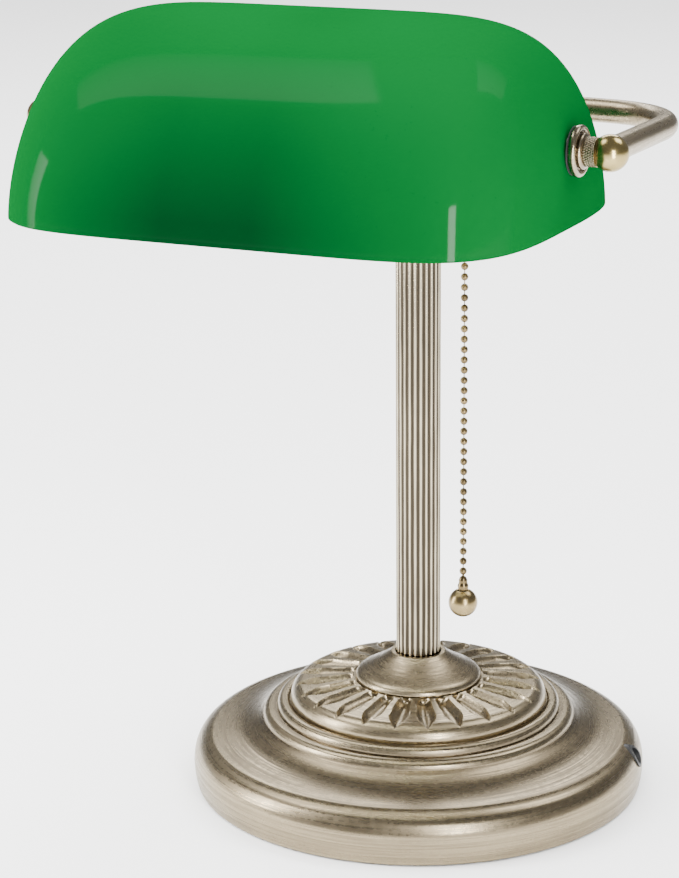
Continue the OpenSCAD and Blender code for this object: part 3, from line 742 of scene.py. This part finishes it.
def shade_turns(per_quarter):
    """Plan angles spaced closer where the plan bends, so that the points come out even."""
    fine = np.linspace(0.0, math.pi / 2, 4000)
    line = np.array([shade_point(0.0, t, 0.0)[:2] for t in fine])
    length = np.concatenate([[0], np.cumsum(np.linalg.norm(np.diff(line, axis=0), axis=1))])
    quarter = np.interp(np.linspace(0, length[-1], per_quarter + 1), length, fine)
    quarter[0] = 0.0
    whole = list(quarter[:-1])
    whole += list(math.pi - quarter[::-1][:-1])
    whole += list(math.pi + quarter[:-1])
    whole += list(TAU - quarter[::-1][:-1])
    return whole


def make_shade():
    """A cased shell: green outside, a rounded ground rim, white inside."""
    turns = shade_turns(52)
    climbs = np.linspace(0, math.pi / 2, 72)[:-1]
    outer, inner = [], []
    for climb in climbs:
        outer.append([shade_point(0.0, t, climb) for t in turns])
        inner.append([shade_point(GLASS_T, t, climb) for t in turns])
    rings = outer[::-1]
    for inset in (RIM_ROUND, GLASS_T - RIM_ROUND):
        rings.append([(*shade_point(inset, t, 0.0)[:2], SHADE_Z) for t in turns])
    rings[len(outer) - 1] = [(x, y, z + RIM_LIFT) for x, y, z in outer[0]]
    rings += inner
    rings[len(outer) + 2] = [(x, y, z + RIM_LIFT) for x, y, z in inner[0]]
    columns = len(turns)
    points = [p for ring in rings for p in ring]
    faces = grid_faces(len(rings), columns)
    top = SHADE_Z + SHADE_H
    for ring, crown_z, flip in ((0, top, False), (len(rings) - 1, top - GLASS_T, True)):
        points.append((0, SHADE_Y, crown_z))
        for k in range(columns):
            a, b = ring * columns + k, ring * columns + (k + 1) % columns
            faces.append((len(points) - 1, b, a) if flip else (len(points) - 1, a, b))
    obj = mesh_object("shade_glass_finish", points, faces, 50)
    fix_normals(obj)
    obj.data.materials.append(GREEN)
    obj.data.materials.append(WHITE_CASE)
    for polygon in obj.data.polygons:
        x, y, z = polygon.center / MM
        rise = min(1.0, (z - SHADE_Z) / (SHADE_H - GLASS_T / 2))
        u = (abs(y - SHADE_Y) / (SHADE_B - GLASS_T / 2)) ** ARCH_Y + max(rise, 0.0) ** ARCH_Z
        inside = (abs(x) / (SHADE_A - GLASS_T / 2)) ** END_POWER + u ** CORNER < 1
        polygon.material_index = 1 if inside else 0
    for side in (1, -1):
        start, end = ((side * x, PIVOT[1], PIVOT[2]) for x in (80, 120))
        cut(obj, rod("pivot_cutter", start, end, PIVOT_HOLE_R))
    return obj


shade = make_shade()
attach(shade, "shade")
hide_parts("shade_glass")


# ---- Pull chain ----

def bead(centre, steps=20):
    """A hollow bead pressed from strip: a ball with a hole at each end."""
    outline = []
    for a in np.linspace(-1.12, 1.12, 15):
        outline.append((BEAD_R * math.cos(a), BEAD_R * math.sin(a)))
    outline += [(0.62, outline[-1][1] - 0.1), (0.62, outline[0][1] + 0.1)]
    points = np.array(lathe_points(outline, steps)) + np.array(centre)
    return points, grid_faces(len(outline), steps, wrap_rows=True)


def link(x, y, top, bottom, steps=12):
    """A wire between two beads. Its heads end just short of the middle of each bead."""
    half = [(1e-3, 0.12), (0.46, 0.13), (0.6, 0.22), (0.66, 0.36), (0.6, 0.52), (0.36, 0.7), (0.2, 1.0)]
    outline = [(r, bottom + z) for r, z in half] + [(r, top - z) for r, z in half[::-1]]
    points = np.array(lathe_points(outline, steps)) + np.array([x, y, 0])
    return points, grid_faces(len(outline), steps, wrap_rows=True)


second_z = SIDE_PIVOT[2] + 4 * BEAD_PITCH
heights = [second_z + 7.0] + [second_z - i * BEAD_PITCH for i in range(41)]
LAST = {"chain_lead": (0, 5), "chain_upper": (6, 21), "chain_lower": (22, 41)}
NODE = {"chain_lead": "lead", "chain_upper": "upper", "chain_lower": "lower"}
for body, (first, last) in LAST.items():
    beads = [bead((CHAIN_X, PIVOT[1], heights[i])) for i in range(first, last + 1)]
    start = first if body == "chain_lead" else first - 1
    links = [link(CHAIN_X, PIVOT[1], heights[i], heights[i + 1]) for i in range(start, last)]
    for kind, parts in (("beads", beads), ("links", links)):
        piece = join_parts(f"{NODE[body]}_{kind}_finish", parts)
        fix_normals(piece)
        place(piece, body, CHAIN_BRASS, "chain_brass", f"{NODE[body]}_{kind}")

pull_r = (pull_high[0] - pull_low[0]) / 2
pull_z = pull_low[2] + pull_r
ball_line = [(pull_r * math.cos(a), pull_r * math.sin(a) + pull_z)
             for a in np.linspace(-math.pi / 2, 1.1, 40)]
ball_line += [(2.1, pull_z + pull_r - 0.75), (1.9, pull_z + pull_r - 1.2), (0, pull_z + pull_r - 1.3)]
pull = lathe("pull_ball_finish", ball_line, 72, at=(CHAIN_X, PIVOT[1], 0))
place(pull, "chain_lower", PULL_BRASS, "chain_brass", "pull_ball")
c0 = pull_z + pull_r
cap_line = rounded([(0, c0 - 1), (1.9, c0 - 0.6), (2.1, c0 + 1.2), (1.6, c0 + 2.4), (1.7, c0 + 3.4),
                    (1.1, c0 + 4.6), (0.45, c0 + 4.9), (0.45, c0 + 5.6), (0, c0 + 5.6)], 0.4)
cap = lathe("chain_coupling_finish", cap_line, 48, at=(CHAIN_X, PIVOT[1], 0))
place(cap, "chain_lower", CHAIN_BRASS, "chain_brass", "chain_coupling")


# ---- CAD nodes that stay ----

FINISH = {
    "base_weight": CAST, "cover_plate": BOARD, "felt_pad": FELT, "cord_bushing": BLACK,
    "rod_nut": STEEL, "rod_washer": STEEL, "threaded_rod": STEEL, "yoke_hub": BASE_BRASS,
    "rubber_washers": RUBBER, "clamp_washers": STEEL, "pivot_nipple": STEEL, "pivot_stud": STEEL,
    "lock_nuts": STEEL, "shade_bushings": WHITE, "socket_cap": SOCKET_BRASS, "socket_shell": SOCKET_BRASS,
    "socket_liner": FIBRE, "switch_body": BLACK, "screw_shell": SOCKET_BRASS,
    "centre_contact": SOCKET_BRASS, "chain_bell": SOCKET_BRASS, "switch_lever": STEEL,
    "lever_pin": STEEL, "lever_spring": STEEL, "switch_rotor": WHITE, "bulb_glass": BULB_WHITE,
    "bulb_base": ALUMINIUM, "bulb_insulator": BLACK, "bulb_contact": SOLDER,
}
for name, material in FINISH.items():
    mesh = nodes[name].data
    mesh.materials.clear()
    mesh.materials.append(material)
    mesh.polygons.foreach_set("use_smooth", [True] * len(mesh.polygons))
    mesh.set_sharp_from_angle(angle=math.radians(32))


# ---- Floor, light and camera ----

floor_mesh = bpy.data.meshes.new("floor")
reach = 40.0
floor_mesh.from_pydata([(-reach, -reach, 0), (reach, -reach, 0), (reach, reach, 0), (-reach, reach, 0)],
                       [], [(0, 1, 2, 3)])
floor = bpy.data.objects.new("floor", floor_mesh)
bpy.context.scene.collection.objects.link(floor)
paper = Nodes("floor_paper")
paper.set(Base_Color=paper.mix(paper.noise(3.0, 2.0), (0.90, 0.90, 0.90), (0.92, 0.92, 0.92)), Roughness=0.9)
floor.data.materials.append(paper.material)

world = bpy.data.worlds.new("studio")
world.use_nodes = True
world.node_tree.nodes["Background"].inputs["Color"].default_value = (0.96, 0.97, 1.0, 1)
world.node_tree.nodes["Background"].inputs["Strength"].default_value = 0.3
bpy.context.scene.world = world

AIM = Vector((0, -0.05, 0.2))


def area_light(name, azimuth, elevation, distance, width, height, power, glossy=True, aim=AIM):
    """A rectangular softbox. Azimuth 0 is at -Y and 90 at +X, as seen from the lamp."""
    data = bpy.data.lights.new(name, "AREA")
    data.shape = "RECTANGLE"
    data.size, data.size_y, data.energy = width, height, power
    obj = bpy.data.objects.new(name, data)
    a, e = math.radians(azimuth), math.radians(elevation)
    away = Vector((math.sin(a) * math.cos(e), -math.cos(a) * math.cos(e), math.sin(e)))
    obj.location = aim + away * distance
    obj.rotation_euler = away.to_track_quat("Z", "Y").to_euler()
    obj.visible_camera = False
    obj.visible_glossy = glossy
    bpy.context.scene.collection.objects.link(obj)


CAMERA_AZ = 23.02
area_light("floor_wash", 0, 89.9, 6.0, 8.0, 8.0, 1600, glossy=False)
area_light("key_left", CAMERA_AZ - 78, 36, 2.0, 0.9, 0.9, 42, glossy=False)
area_light("fill_right", CAMERA_AZ + 80, 32, 2.2, 0.9, 0.9, 18, glossy=False)
area_light("top_left", CAMERA_AZ - 105, 58, 2.2, 1.0, 1.0, 24)
area_light("top_right", CAMERA_AZ + 112, 55, 2.2, 1.0, 1.0, 20)
area_light("back_low", CAMERA_AZ + 180, 33, 2.4, 1.8, 0.5, 24)
area_light("strip_right", CAMERA_AZ + 20, 8, 0.66, 0.08, 0.44, 5.5)
area_light("strip_left", CAMERA_AZ - 84, 8, 0.66, 0.12, 0.44, 6.5)

camera_data = bpy.data.cameras.new("camera")
camera = bpy.data.objects.new("camera", camera_data)
bpy.context.scene.collection.objects.link(camera)
CAMERA_DISTANCE, CAMERA_HEIGHT, CAMERA_PITCH = 1039.08, 445.58, 15.89
FOCAL_PX, AXIS_OFFSET_PX = 2592.93, 78.76
LONG_SIDE_PX = 878
turn = math.radians(CAMERA_AZ)
camera.location = Vector((CAMERA_DISTANCE * math.sin(turn), -CAMERA_DISTANCE * math.cos(turn),
                          CAMERA_HEIGHT)) * MM
camera_data.sensor_fit = "AUTO"
camera_data.sensor_width = 36
camera_data.lens = FOCAL_PX * 36 / LONG_SIDE_PX
# The lamp's axis stands right of the middle: half by turning the camera, half by shift
TURNED_PX = AXIS_OFFSET_PX / 2
yaw = math.atan(TURNED_PX / FOCAL_PX)
aim_turn = Matrix.Rotation(turn, 3, "Z") @ Matrix.Rotation(math.radians(90 - CAMERA_PITCH), 3, "X")
camera.rotation_euler = (aim_turn @ Matrix.Rotation(yaw, 3, "Y")).to_euler()
camera_data.shift_x = -TURNED_PX / LONG_SIDE_PX
camera_data.clip_start, camera_data.clip_end = 0.05, 120
bpy.context.scene.camera = camera
